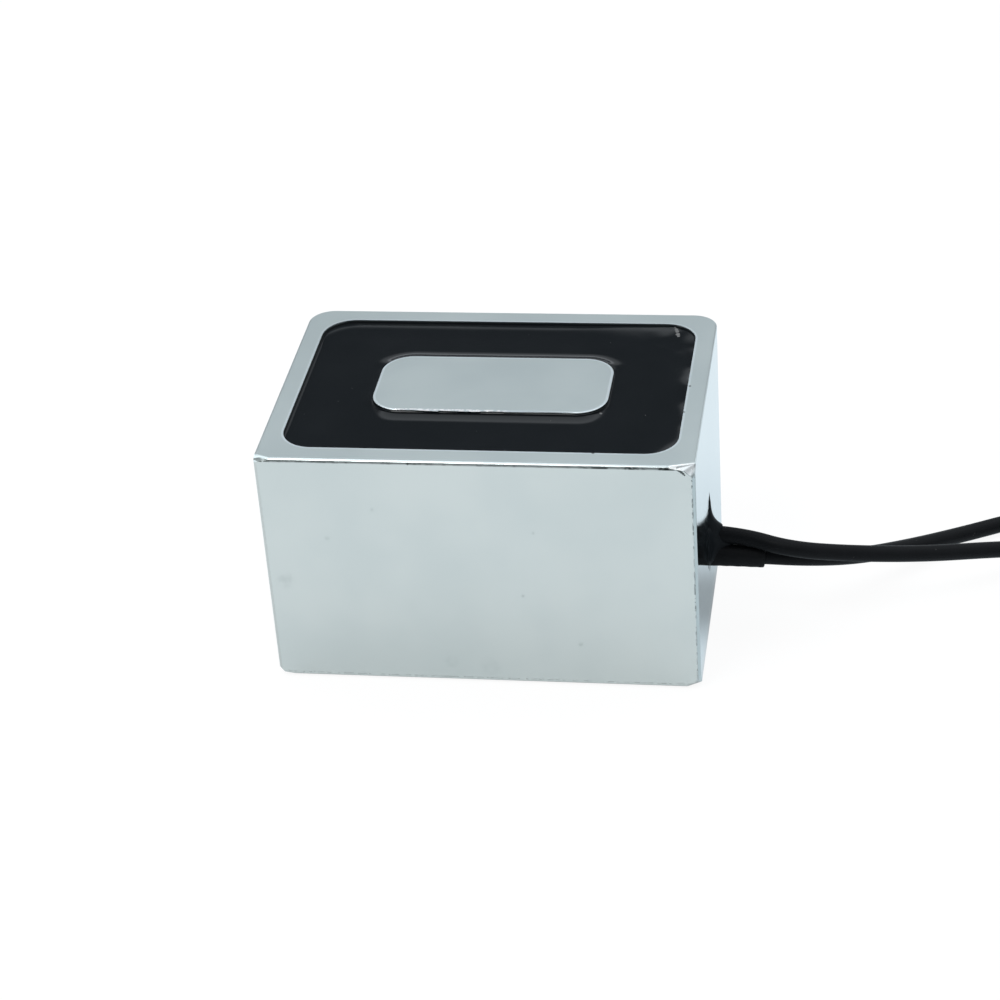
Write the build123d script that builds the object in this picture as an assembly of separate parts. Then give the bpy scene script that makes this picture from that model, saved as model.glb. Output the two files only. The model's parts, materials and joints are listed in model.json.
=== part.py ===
from build123d import *

import os
from math import cos, pi, radians, sin, sqrt, tan

# Rectangular holding electromagnet, in millimetres.
# The frame's origin is the centre of the base, +Z is up towards the holding face,
# -Y is the front and the two leads leave through the +X side.

# Steel yoke, milled from one block
HOUSING_WIDTH = 50.0
HOUSING_DEPTH = 35.0
HOUSING_HEIGHT = 30.0
BACK_CORNER_RADIUS = 3.0
EDGE_RADIUS = 0.45
CORNER_EASE = 0.95  # how far tumbling has rounded off the sharp front corners
RIM_WALL = 2.3
BASE_THICKNESS = 6.5
SLOT_CORNER_RADIUS = 3.75
SLOT_GAP_SHARE = 0.2543  # slot's width round the pole, as a share of the yoke's depth
POLE_CORNER_SHARE = 0.278  # pole's corner radius, as a share of its depth
DEBURR = 0.2

# Lead hole through the +X wall
LEAD_HOLE_DIAMETER = 5.8
LEAD_HOLE_Y = -1.3
LEAD_HOLE_Z = 9.5
LEAD_HOLE_CHAMFER = 0.3

# Two blind M5 holes in the base, drilled for tapping
SCREW_SPACING = 16.0
TAP_DRILL_DIAMETER = 4.2
TAP_DRILL_DEPTH = 11.0
TAP_MOUTH_DIAMETER = 5.3
DRILL_POINT_ANGLE = 118.0

# Moulded bobbin
POLE_CLEARANCE = 0.25
HUB_WALL = 0.9
LOWER_FLANGE = 0.8
UPPER_FLANGE = 1.0
FLANGE_CLEARANCE = 0.4
BOBBIN_COVER = 1.75  # resin above the upper flange
GROOVE_WIDTH = 0.8
GROOVE_DEPTH = 0.5
GROOVE_ANGLE = -45.0
LEAD_NOTCH_WIDTH = 8.0
LEAD_NOTCH_DEPTH = 2.7
LEAD_NOTCH_RADIUS = 0.8
RESIN_NOTCH_RADIUS = 1.4

# Winding and its tape
LEAD_LANE = 3.3  # room between the tape and the slot's wall
TAPE_THICKNESS = 0.2
TAPE_BARE_BELOW = 1.8
TAPE_BARE_ABOVE = 0.8
MAGNET_WIRE_DIAMETER = 0.45
WIRE_BEND_RADIUS = 0.5
WIRE_BEDDING = 0.04  # how far the start wire is pressed into the winding's underside

# Leads and their splices
LEAD_DIAMETER = 2.0
STRANDS_DIAMETER = 1.1
SPLICE_SLEEVE_WALL = 0.25
LEAD_BEND_RADIUS = 1.9
LEAD_LIFT_RADIUS = 3.0
LEAD_B_SPLICE_Z = 8.9

# Lengths along a splice, and each splice's place, as shares of the slot's depth
STRANDS_SHARE = 0.1
JOINT_SHARE = 0.05
STRIP_TAPER_SHARE = 0.033
SLEEVE_OVERLAP_SHARE = 0.033
SLEEVE_TAIL_SHARE = 0.033
SPLICE_A_SHARE = 0.148
SPLICE_B_SHARE = -0.23

# Sleeve on the lower lead
EXIT_SLEEVE_WALL = 0.3
EXIT_SLEEVE_INSIDE = 1.8  # length of it inside the wall

# Resin
RESIN_RECESS = 0.75
MENISCUS_RADIUS = 0.45
MENISCUS_LIP = 0.05
SEALANT_THICKNESS = 0.35
SEALANT_MARGIN = 0.35
SEALANT_SPIKE_TOP_Z = 14.9
SEALANT_SPIKE_STEP = 1.35
SEALANT_TIP_WIDTH = 0.3
SEALANT_SHOULDER_ANGLE = 50.0

# Free leads from the side face to the coil: points that the route bends round,
# each as its distance from the side face, its Y and its Z
LEAD_A_ROUTE = [
    (0.0, -1.0, 10.9),
    (3.8, -1.0, 10.9),
    (9.6, -3.2, 10.1),
    (17.0, -1.1, 8.2),
    (25.5, 2.6, 5.9),
    (34.2, 7.0, 4.0),
    (40.0, 10.6, 2.1),
    (44.6, 14.0, 1.0),
    (49.2, 17.8, 1.0),
]
LEAD_B_ROUTE = [
    (0.0, -1.6, 8.0),
    (4.2, -1.6, 8.0),
    (11.4, -0.9, 7.4),
    (17.2, 3.1, 5.2),
    (23.4, 9.1, 2.8),
    (29.8, 14.9, 1.2),
    (36.2, 18.4, 1.0),
    (43.0, 21.1, 1.0),
    (50.0, 22.8, 1.0),
    (57.0, 23.0, 1.0),
]
ARC_SHARE = 0.45

# Coil of the put-away length, and its tie
COIL_DISTANCE = 57.0
COIL_CENTRE_Y = 10.0
COIL_RADIUS = 12.0
COIL_COLUMNS = 2
COIL_LAYERS = 2
COIL_SLACK = 0.1
COIL_EDGE_RADIUS = 0.5
TIE_WIDTH = 2.6
TIE_THICKNESS = 0.4
TIE_ANGLE = 0.0
TIE_HEAD_LENGTH = 3.4
TIE_HEAD_WIDTH = 3.6
TIE_HEAD_HEIGHT = 2.4

# Free ends after the coil, as the free leads' routes
LEAD_A_END_ROUTE = [
    (48.6, 2.4, 3.0),
    (46.1, 6.9, 3.0),
    (46.7, 12.0, 2.9),
    (50.2, 15.8, 1.2),
    (55.2, 16.9, 1.0),
]
LEAD_B_END_ROUTE = [
    (63.5, -1.3, 3.0),
    (59.2, -3.8, 3.0),
    (54.4, -5.3, 1.5),
    (49.5, -5.8, 1.05),
]
TIP_LENGTH = 5.0
TIP_ROUNDING = 0.3

# Places that follow from the sizes above
side_face_x = HOUSING_WIDTH / 2
slot_width = HOUSING_WIDTH - 2 * RIM_WALL
slot_depth = HOUSING_DEPTH - 2 * RIM_WALL
slot_side_x = slot_width / 2
slot_gap = SLOT_GAP_SHARE * HOUSING_DEPTH
pole_width = slot_width - 2 * slot_gap
pole_depth = slot_depth - 2 * slot_gap
pole_corner_radius = POLE_CORNER_SHARE * pole_depth
pole_corner_x = pole_width / 2 - pole_corner_radius
pole_corner_y = pole_depth / 2 - pole_corner_radius
contact_z = HOUSING_HEIGHT - DEBURR
resin_z = HOUSING_HEIGHT - RESIN_RECESS
hub_offset = POLE_CLEARANCE + HUB_WALL
tape_offset = slot_gap - LEAD_LANE
winding_offset = tape_offset - TAPE_THICKNESS
flange_top_z = BASE_THICKNESS + LOWER_FLANGE
bobbin_top_z = resin_z - BOBBIN_COVER
winding_top_z = bobbin_top_z - UPPER_FLANGE
tape_base_z = flange_top_z + TAPE_BARE_BELOW
tape_top_z = winding_top_z - TAPE_BARE_ABOVE
lead_radius = LEAD_DIAMETER / 2
lead_lane_x = slot_side_x - LEAD_LANE / 2
lead_a_y, lead_a_z = LEAD_A_ROUTE[0][1:]
lead_b_y, lead_b_z = LEAD_B_ROUTE[0][1:]
splice_a_y = SPLICE_A_SHARE * slot_depth
splice_b_y = SPLICE_B_SHARE * slot_depth
exit_sleeve_radius = lead_radius + EXIT_SLEEVE_WALL
coil_centre_x = side_face_x + COIL_DISTANCE


def block(width, depth, height, corner_radius, base_z):
    """Upright rounded block on the centre line."""
    outline = RectangleRounded(width, depth, corner_radius)
    return Pos(0, 0, base_z) * extrude(outline, height)


def pole_block(offset, base_z, top_z):
    """Block that follows the pole's outline at an offset."""
    return block(
        pole_width + 2 * offset,
        pole_depth + 2 * offset,
        top_z - base_z,
        pole_corner_radius + offset,
        base_z,
    )


def slot_block(inset, base_z, top_z):
    """Block that follows the slot's outer wall, inset from it."""
    return block(
        slot_width - 2 * inset,
        slot_depth - 2 * inset,
        top_z - base_z,
        SLOT_CORNER_RADIUS - inset,
        base_z,
    )


def pole_ring(inner_offset, outer_offset, base_z, top_z):
    """Ring round the pole, between two offsets from it."""
    return pole_block(outer_offset, base_z, top_z) - pole_block(
        inner_offset, base_z, top_z
    )


def slot_ring(wall_inset, pole_offset, base_z, top_z):
    """Ring between the slot's wall and the pole."""
    return slot_block(wall_inset, base_z, top_z) - pole_block(
        pole_offset, base_z, top_z
    )


def round_tube(path, radius):
    """Round bar swept along a path from its first end."""
    start = Plane(origin=path @ 0, z_dir=path % 0)
    return sweep(start * Circle(radius), path=path)


def bent_path(points, radius):
    """Straight runs with one bend radius at every corner."""
    return FilletPolyline(*points, radius=radius)


def turned_on_y(profile, x, z):
    """Revolve a half outline, given as (radius, y) points, about a line along Y."""
    points = [(radius, y) for radius, y in profile]
    face = make_face(Polyline(*points, close=True))
    return Pos(x, 0, z) * revolve(face, axis=Axis.Y)


def bar_between(start, end, radius):
    """Straight round bar from one point to another."""
    return round_tube(Line(start, end), radius)


def make_block_blank():
    """Outer form of the yoke: sharp front corners, rounded back ones, tumbled edges."""
    blank = Pos(0, 0, HOUSING_HEIGHT / 2) * Box(
        HOUSING_WIDTH, HOUSING_DEPTH, HOUSING_HEIGHT
    )
    uprights = blank.edges().filter_by(Axis.Z)
    back = uprights.filter_by(lambda edge: edge.center().Y > 0)
    blank = fillet(back, BACK_CORNER_RADIUS)
    front = (
        blank.edges().filter_by(Axis.Z).filter_by(lambda edge: edge.center().Y < -1)
    )
    blank = fillet(front, EDGE_RADIUS)
    flats = blank.faces().filter_by(Axis.Z)
    blank = fillet(flats.edges(), EDGE_RADIUS)
    half_diagonal = (
        sqrt(HOUSING_WIDTH**2 + HOUSING_DEPTH**2 + HOUSING_HEIGHT**2) / 2
    )
    return blank & Pos(0, 0, HOUSING_HEIGHT / 2) * Sphere(half_diagonal - CORNER_EASE)


def make_tap_hole():
    """Blind hole for one screw: countersunk mouth, tap-drill wall and drill point."""
    drill = TAP_DRILL_DIAMETER / 2
    mouth = TAP_MOUTH_DIAMETER / 2
    point_height = drill / tan(radians(DRILL_POINT_ANGLE / 2))
    outline = Polyline(
        (0, 0),
        (mouth, 0),
        (drill, mouth - drill),
        (drill, TAP_DRILL_DEPTH),
        (0, TAP_DRILL_DEPTH + point_height),
        close=True,
    )
    return revolve(Plane.XZ * make_face(outline), axis=Axis.Z)


def make_lead_hole():
    """Round hole through the side wall, chamfered where the leads come out."""
    radius = LEAD_HOLE_DIAMETER / 2
    centre = (0, LEAD_HOLE_Y, LEAD_HOLE_Z)
    drill = Plane(origin=centre, z_dir=(1, 0, 0)) * extrude(Circle(radius), side_face_x)
    inner = Pos(0, 0, 0) * Box(
        2 * slot_side_x - 1, HOUSING_DEPTH, 2 * HOUSING_HEIGHT
    )
    mouth_plane = Plane(
        origin=(side_face_x - LEAD_HOLE_CHAMFER, LEAD_HOLE_Y, LEAD_HOLE_Z),
        z_dir=(1, 0, 0),
    )
    mouth = mouth_plane * (
        Pos(0, 0, LEAD_HOLE_CHAMFER / 2)
        * Cone(radius, radius + LEAD_HOLE_CHAMFER, LEAD_HOLE_CHAMFER)
    )
    return (drill - inner) + mouth


def make_housing():
    """One-piece yoke with its centre pole, slot, lead hole and two tapped holes."""
    housing = make_block_blank()
    housing -= slot_ring(0, 0, BASE_THICKNESS, HOUSING_HEIGHT)
    housing = deburr_slot(housing)
    housing -= make_lead_hole()
    for side in (-1, 1):
        housing -= Pos(side * SCREW_SPACING / 2, 0, 0) * make_tap_hole()
    return housing


def deburr_slot(housing):
    """Small chamfer on the holding face, round the slot and round the pole."""
    top = housing.faces().filter_by(Axis.Z).group_by(Axis.Z)[-1]
    outer_x = slot_side_x + RIM_WALL / 2
    sharp = [
        edge
        for face in top
        for edge in face.edges()
        if edge.bounding_box().max.X < outer_x
        and edge.bounding_box().min.X > -outer_x
        and abs(edge.center().Y) < slot_depth / 2 + RIM_WALL / 4
    ]
    return chamfer(sharp, DEBURR)


def make_bobbin():
    """Moulded former: hub, two flanges, wire groove and lead notch."""
    hub = pole_ring(POLE_CLEARANCE, hub_offset, BASE_THICKNESS, bobbin_top_z)
    lower = slot_ring(
        FLANGE_CLEARANCE, POLE_CLEARANCE, BASE_THICKNESS, flange_top_z
    )
    upper = slot_ring(FLANGE_CLEARANCE, POLE_CLEARANCE, winding_top_z, bobbin_top_z)
    bobbin = hub + lower + upper
    bobbin -= make_lead_notch()
    bobbin -= make_wire_groove()
    for side in (-1, 1):
        bobbin -= Pos(0, side * (slot_depth / 2 - FLANGE_CLEARANCE), winding_top_z) * (
            extrude(Circle(RESIN_NOTCH_RADIUS), UPPER_FLANGE)
        )
    return bobbin


def make_lead_notch():
    """Notch in the lower flange where the leads come in through the hole."""
    flange_edge_x = slot_side_x - FLANGE_CLEARANCE
    outline = RectangleRounded(
        2 * LEAD_NOTCH_DEPTH, LEAD_NOTCH_WIDTH, LEAD_NOTCH_RADIUS
    )
    place = Pos(flange_edge_x, LEAD_HOLE_Y, BASE_THICKNESS)
    return place * extrude(outline, LOWER_FLANGE)


def groove_point(distance, z):
    """Point on the groove's line at a distance from the pole's corner centre."""
    angle = radians(GROOVE_ANGLE)
    return (
        pole_corner_x + distance * cos(angle),
        -pole_corner_y + distance * sin(angle),
        z,
    )


def groove_wire_z():
    """Height of the start wire, which lies in its groove against the winding."""
    return flange_top_z - MAGNET_WIRE_DIAMETER / 2 + WIRE_BEDDING


def make_wire_groove():
    """Groove in the lower flange's inner face for the start wire."""
    inner = pole_corner_radius + hub_offset + MAGNET_WIRE_DIAMETER / 2
    outer = 2 * slot_gap
    x, y, _ = groove_point((inner + outer) / 2, 0)
    bar = extrude(Rectangle(outer - inner, GROOVE_WIDTH), GROOVE_DEPTH)
    return Pos(x, y, flange_top_z - GROOVE_DEPTH) * Rot(0, 0, GROOVE_ANGLE) * bar


def make_winding():
    """All the turns of magnet wire as one ring between the flanges."""
    return pole_ring(hub_offset, winding_offset, flange_top_z, winding_top_z)


def make_winding_tape():
    """Tape wrapped round the winding, clear of both flanges."""
    return pole_ring(winding_offset, tape_offset, tape_base_z, tape_top_z)


def lead_a_inner_path():
    """Upper lead from its splice, round to the hole and out to the side face."""
    return bent_path(
        [
            (side_face_x, lead_a_y, lead_a_z),
            (lead_lane_x, lead_a_y, lead_a_z),
            (lead_lane_x, splice_a_y, lead_a_z),
        ],
        LEAD_BEND_RADIUS,
    )


def lead_b_inner_path():
    """Lower lead from its splice, down beside the winding and out to the side face."""
    lift_y = (lead_b_y + splice_b_y) / 2
    return FilletPolyline(
        (side_face_x, lead_b_y, lead_b_z),
        (lead_lane_x, lead_b_y, lead_b_z),
        (lead_lane_x, lift_y - lead_radius / 2, LEAD_B_SPLICE_Z),
        (lead_lane_x, splice_b_y, LEAD_B_SPLICE_Z),
        radius=[LEAD_BEND_RADIUS, LEAD_LIFT_RADIUS],
    )


def splice_stations(direction, splice_y):
    """Places along Y of a splice: strands end, joint end and sleeve end."""
    strands_y = splice_y + direction * STRANDS_SHARE * slot_depth
    joint_y = strands_y + direction * JOINT_SHARE * slot_depth
    sleeve_y = joint_y + direction * SLEEVE_TAIL_SHARE * slot_depth
    return strands_y, joint_y, sleeve_y


def make_strands(direction, splice_y, z):
    """Bared strands beyond the end of a lead's jacket."""
    strands_y, _, _ = splice_stations(direction, splice_y)
    start = (lead_lane_x, splice_y, z)
    return bar_between(start, (lead_lane_x, strands_y, z), STRANDS_DIAMETER / 2)


def make_joint(direction, splice_y, z):
    """Solder that tapers from the strands down to the magnet wire."""
    strands_y, joint_y, _ = splice_stations(direction, splice_y)
    profile = [
        (0, strands_y),
        (STRANDS_DIAMETER / 2, strands_y),
        (MAGNET_WIRE_DIAMETER / 2, joint_y),
        (0, joint_y),
    ]
    return turned_on_y(profile, lead_lane_x, z)


def make_splice_sleeve(direction, splice_y, z):
    """Sleeve shrunk over jacket, strands, solder and wire."""
    strands_y, joint_y, sleeve_y = splice_stations(direction, splice_y)
    start_y = splice_y - direction * SLEEVE_OVERLAP_SHARE * slot_depth
    taper_y = splice_y + direction * STRIP_TAPER_SHARE * slot_depth
    steps = [
        (lead_radius, start_y),
        (lead_radius, splice_y),
        (STRANDS_DIAMETER / 2, splice_y),
        (STRANDS_DIAMETER / 2, strands_y),
        (MAGNET_WIRE_DIAMETER / 2, joint_y),
        (MAGNET_WIRE_DIAMETER / 2, sleeve_y),
    ]
    outside = [(radius + SPLICE_SLEEVE_WALL, y) for radius, y in steps]
    outside[2] = (STRANDS_DIAMETER / 2 + SPLICE_SLEEVE_WALL, taper_y)
    return turned_on_y(steps + outside[::-1], lead_lane_x, z)


def make_start_tail(winding):
    """Start of the magnet wire: out from the hub in the groove, then up to its joint."""
    _, joint_y, sleeve_y = splice_stations(-1, splice_b_y)
    wire_z = groove_wire_z()
    hub_corner = pole_corner_radius + hub_offset
    path = bent_path(
        [
            (lead_lane_x, joint_y, LEAD_B_SPLICE_Z),
            (lead_lane_x, sleeve_y - 3 * WIRE_BEND_RADIUS, LEAD_B_SPLICE_Z),
            groove_point(pole_corner_radius + winding_offset + 4 * WIRE_BEND_RADIUS, wire_z),
            groove_point(hub_corner + MAGNET_WIRE_DIAMETER, wire_z),
        ],
        WIRE_BEND_RADIUS,
    )
    return round_tube(path, MAGNET_WIRE_DIAMETER / 2) - winding


def make_finish_tail(winding):
    """Finish of the magnet wire: from the winding's outer turns to its joint."""
    _, joint_y, sleeve_y = splice_stations(1, splice_a_y)
    wire_z = flange_top_z + TAPE_BARE_BELOW / 2
    landing = (pole_corner_radius + winding_offset - MAGNET_WIRE_DIAMETER) / sqrt(2)
    path = bent_path(
        [
            (lead_lane_x, joint_y, lead_a_z),
            (lead_lane_x, sleeve_y + 3 * WIRE_BEND_RADIUS, lead_a_z),
            (
                pole_corner_x + landing + 4 * WIRE_BEND_RADIUS,
                pole_corner_y + landing + 4 * WIRE_BEND_RADIUS,
                wire_z,
            ),
            (pole_corner_x + landing, pole_corner_y + landing, wire_z),
        ],
        WIRE_BEND_RADIUS,
    )
    return round_tube(path, MAGNET_WIRE_DIAMETER / 2) - winding


def from_side_face(route):
    """Route's points in the frame, from their distances to the side face."""
    return [(side_face_x + distance, y, z) for distance, y, z in route]


def route_radii(points):
    """Bend radius at each corner of a free lead, as large as its two runs allow."""
    radii = []
    for before, corner, after in zip(points, points[1:], points[2:]):
        run_in = Vector(*corner) - Vector(*before)
        run_out = Vector(*after) - Vector(*corner)
        shorter = min(run_in.length, run_out.length)
        half_turn = radians(run_in.get_angle(run_out)) / 2
        radii.append(ARC_SHARE * shorter / tan(half_turn))
    return radii


def route_path(name, route):
    """Free lead's centre line, with its radii printed."""
    points = from_side_face(route)
    radii = route_radii(points)
    print(name, "radii", [round(radius, 1) for radius in radii])
    return FilletPolyline(*points, radius=radii)


def make_free_lead(name, path):
    """Plain round solid along a free lead, with its volume compared with its length."""
    lead = round_tube(path, lead_radius)
    expected = pi * lead_radius**2 * path.length
    print(name, "length", round(path.length, 1), "volume ratio",
          round(lead.volume / expected, 4))
    return lead


def make_exit_sleeve(lead_b_path):
    """Thin sleeve on the lower lead, from inside the wall to past its first bend."""
    start = (side_face_x - EXIT_SLEEVE_INSIDE, lead_b_y, lead_b_z)
    face = (side_face_x, lead_b_y, lead_b_z)
    inner = bar_between(start, face, exit_sleeve_radius)
    first_run, first_bend = lead_b_path.edges()[0:2]
    outer = round_tube(Wire([first_run, first_bend]), exit_sleeve_radius)
    bore = bar_between(start, face, lead_radius)
    return (inner + outer) - bore - round_tube(lead_b_path, lead_radius)


def make_exit_sealant(leads, sleeve):
    """Resin smear on the side face: a thin collar that runs up into a spike."""
    collar_radius = LEAD_HOLE_DIAMETER / 2 + LEAD_HOLE_CHAMFER + SEALANT_MARGIN
    lead_top_z = lead_a_z + lead_radius
    collar = Circle(collar_radius)
    tip_height = SEALANT_SPIKE_TOP_Z - LEAD_HOLE_Z
    shoulder = radians(SEALANT_SHOULDER_ANGLE)
    edge = (collar_radius * sin(shoulder), collar_radius * cos(shoulder))
    spike = make_face(
        Polyline(
            (-edge[0], edge[1]),
            (-SEALANT_TIP_WIDTH / 2, tip_height),
            (SEALANT_TIP_WIDTH / 2, tip_height),
            edge,
            close=True,
        )
    )
    face_plane = Plane(
        origin=(side_face_x, LEAD_HOLE_Y, LEAD_HOLE_Z), x_dir=(0, 1, 0), z_dir=(1, 0, 0)
    )
    plan = extrude(face_plane * (collar + spike), SEALANT_SPIKE_STEP)
    fall = Spline(
        (side_face_x + SEALANT_SPIKE_STEP, lead_top_z),
        (side_face_x + SEALANT_SPIKE_STEP / 3, lead_top_z + 1.0),
        (side_face_x + SEALANT_SPIKE_STEP / 12, SEALANT_SPIKE_TOP_Z),
        tangents=[(-1, 0.3), (-0.1, 1)],
    )
    root_z = LEAD_HOLE_Z - 2 * collar_radius
    section = make_face(
        [
            fall,
            Polyline(
                fall @ 1,
                (side_face_x, SEALANT_SPIKE_TOP_Z),
                (side_face_x, root_z),
                (side_face_x + SEALANT_THICKNESS, root_z),
                (side_face_x + SEALANT_THICKNESS, lead_a_z),
                (side_face_x + SEALANT_SPIKE_STEP, lead_a_z),
                fall @ 0,
            ),
        ]
    )
    side = Pos(0, HOUSING_DEPTH / 2, 0) * extrude(Plane.XZ * section, HOUSING_DEPTH)
    sealant = plan & side
    for piece in leads + [sleeve]:
        sealant -= piece
    return sealant


def make_potting(buried):
    """Resin that fills the slot and the lead hole, round all that is buried in it."""
    fill = slot_ring(0, 0, BASE_THICKNESS, contact_z)
    dish = slot_ring(MENISCUS_LIP, MENISCUS_LIP, resin_z, HOUSING_HEIGHT)
    dish = fillet(dish.faces().sort_by(Axis.Z)[0].edges(), MENISCUS_RADIUS * 0.98)
    potting = fill - dish + (make_lead_hole() - slot_block(0, 0, HOUSING_HEIGHT))
    for piece in buried:
        potting -= piece
    return potting


def make_coil():
    """Closed outer shape of the wound leads: two strands wide and two high."""
    width = COIL_COLUMNS * LEAD_DIAMETER + 2 * COIL_SLACK
    height = COIL_LAYERS * LEAD_DIAMETER + COIL_SLACK
    section = Pos(COIL_RADIUS, height / 2) * RectangleRounded(
        width, height, COIL_EDGE_RADIUS
    )
    ring = revolve(Plane.XZ * section, axis=Axis.Z)
    return Pos(coil_centre_x, COIL_CENTRE_Y, 0) * ring


def make_tie():
    """Strap round the coil's bundle, with its head on the outside."""
    width = COIL_COLUMNS * LEAD_DIAMETER + 2 * COIL_SLACK
    height = COIL_LAYERS * LEAD_DIAMETER + COIL_SLACK
    inner = RectangleRounded(width, height, COIL_EDGE_RADIUS)
    outer = RectangleRounded(
        width + 2 * TIE_THICKNESS,
        height + 2 * TIE_THICKNESS,
        COIL_EDGE_RADIUS + TIE_THICKNESS,
    )
    centre_z = TIE_THICKNESS + height / 2
    strap = Pos(COIL_RADIUS, 0, centre_z) * (
        Plane.XZ * extrude(outer - inner, TIE_WIDTH / 2, both=True)
    )
    head_x = COIL_RADIUS + width / 2 + TIE_THICKNESS + TIE_HEAD_HEIGHT / 2
    head = Pos(head_x, 0, centre_z) * Box(
        TIE_HEAD_HEIGHT, TIE_HEAD_WIDTH, TIE_HEAD_LENGTH
    )
    head = fillet(head.edges(), TIE_THICKNESS)
    tie = Rot(0, 0, TIE_ANGLE) * (strap + head)
    return Pos(coil_centre_x, COIL_CENTRE_Y, 0) * tie


def make_tip(end_route):
    """Stripped and tinned strands at the end of a lead."""
    before, end = [Vector(*point) for point in from_side_face(end_route)[-2:]]
    along = (end - before).normalized()
    plane = Plane(origin=end, z_dir=along)
    tip = plane * extrude(Circle(STRANDS_DIAMETER / 2), TIP_LENGTH)
    rims = tip.edges().filter_by(GeomType.CIRCLE)
    return fillet(rims.sort_by_distance(end)[-1], TIP_ROUNDING)


def build():
    """Every piece by the name of its node."""
    housing = make_housing()
    bobbin = make_bobbin()
    winding = make_winding()
    lead_a_path = route_path("lead_a", LEAD_A_ROUTE)
    lead_b_path = route_path("lead_b", LEAD_B_ROUTE)
    lead_a = make_free_lead("lead_a", lead_a_path)
    lead_b = make_free_lead("lead_b", lead_b_path)
    exit_sleeve = make_exit_sleeve(lead_b_path)
    tie = make_tie()
    coil = make_coil()
    pieces = {
        "housing": housing,
        "bobbin": bobbin,
        "winding": winding,
        "winding_tape": make_winding_tape(),
        "lead_a_inside": round_tube(lead_a_inner_path(), lead_radius),
        "lead_b_inside": round_tube(lead_b_inner_path(), lead_radius),
        "finish_strands": make_strands(1, splice_a_y, lead_a_z),
        "start_strands": make_strands(-1, splice_b_y, LEAD_B_SPLICE_Z),
        "finish_joint": make_joint(1, splice_a_y, lead_a_z),
        "start_joint": make_joint(-1, splice_b_y, LEAD_B_SPLICE_Z),
        "finish_splice_sleeve": make_splice_sleeve(1, splice_a_y, lead_a_z),
        "start_splice_sleeve": make_splice_sleeve(
            -1, splice_b_y, LEAD_B_SPLICE_Z
        ),
        "finish_tail": make_finish_tail(winding),
        "start_tail": make_start_tail(winding),
    }
    buried = [piece for name, piece in pieces.items() if name != "housing"]
    pieces["potting"] = make_potting(buried + [exit_sleeve])
    pieces["exit_sleeve"] = exit_sleeve
    pieces["exit_sealant"] = make_exit_sealant([lead_a, lead_b], exit_sleeve)
    pieces["lead_coil"] = coil - tie
    pieces["coil_tie"] = tie
    pieces["lead_a"] = lead_a - coil
    pieces["lead_b"] = lead_b - coil
    for name, route in (("lead_a_end", LEAD_A_END_ROUTE), ("lead_b_end", LEAD_B_END_ROUTE)):
        path = route_path(name, route)
        pieces[name] = make_free_lead(name, path) - coil
        pieces[name.replace("_end", "_tip")] = make_tip(route)
    return pieces


os.makedirs("parts", exist_ok=True)
for node, piece in build().items():
    export_step(piece, f"parts/{node}.step")
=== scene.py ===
import json
from math import atan2, cos, exp, hypot, log, pi, radians, sin, sqrt, tau

import bmesh
import bpy
from mathutils import Matrix, Vector, noise


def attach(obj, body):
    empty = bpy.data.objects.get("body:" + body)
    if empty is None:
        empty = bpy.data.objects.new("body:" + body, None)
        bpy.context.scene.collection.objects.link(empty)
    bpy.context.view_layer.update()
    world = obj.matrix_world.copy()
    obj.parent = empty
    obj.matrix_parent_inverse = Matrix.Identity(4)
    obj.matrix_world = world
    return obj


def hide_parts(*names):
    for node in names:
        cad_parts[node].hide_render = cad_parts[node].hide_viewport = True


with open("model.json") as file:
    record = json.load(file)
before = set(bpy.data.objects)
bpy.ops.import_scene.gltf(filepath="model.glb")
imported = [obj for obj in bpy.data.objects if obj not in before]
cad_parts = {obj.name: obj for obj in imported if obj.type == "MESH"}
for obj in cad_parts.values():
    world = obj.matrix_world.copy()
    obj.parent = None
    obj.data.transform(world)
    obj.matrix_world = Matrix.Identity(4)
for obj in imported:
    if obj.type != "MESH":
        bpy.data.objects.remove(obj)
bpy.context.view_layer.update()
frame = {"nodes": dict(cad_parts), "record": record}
MM = 0.001

# Sizes of the magnet, in metres
WIDTH = 50 * MM
DEPTH = 35 * MM
HEIGHT = 30 * MM
SLOT = Vector((45.4, 30.0)) * MM
SLOT_RADIUS = 3.75 * MM
MIDDLE_Y = 0.2 * MM  # of slot and pole
POLE = Vector((27.6, 12.6)) * MM
POLE_RADIUS = 3.5 * MM
SLOT_FLOOR = 6.5 * MM
DEBURR = 0.2 * MM
BACK_CORNER_RADIUS = 2.9 * MM
EDGE_BEVEL = 0.4 * MM
OTHER_EDGES = 0.26  # share of that bevel on all edges but the front's
HOLE_Y = -1.3 * MM
HOLE_Z = 9.5 * MM
HOLE_RADIUS = 2.9 * MM
SCREW_X = 8 * MM
TAP_RADIUS = 2.1 * MM
TAP_DEPTH = 11 * MM
TAP_POINT = 1.26 * MM
TAP_MOUTH_RADIUS = 2.65 * MM
THREAD_RADIUS = 2.5 * MM
THREAD_PITCH = 0.8 * MM
THREAD_END = 10.2 * MM
RESIN_TOP = 29.32 * MM
LEAD_RADIUS = 1.0 * MM

# The leads' coil, in millimetres and degrees
COIL_X = 82
COIL_Y = 10
COIL_CENTRE = Vector((COIL_X, COIL_Y, 0)) * MM
COIL_STEP = 22.5  # from one point on a turn to the next
COIL_SWELL = 1.0195  # how far outside its turn a point lies, because the curve cuts in
FIRST_LAYER = 1.0  # height of the turns that lie on the floor
LAYER_RISE = 2.0  # from them to the turns that lie on them
STRAP_LIFT = 0.4
LIFT_HELD = 22.5  # each way from the strap
LIFT_FADES = 35  # beyond that

# The leads' other sizes, in millimetres
TIP_LENGTH = 5
SLEEVE_OUTSIDE = 1.38

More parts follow.
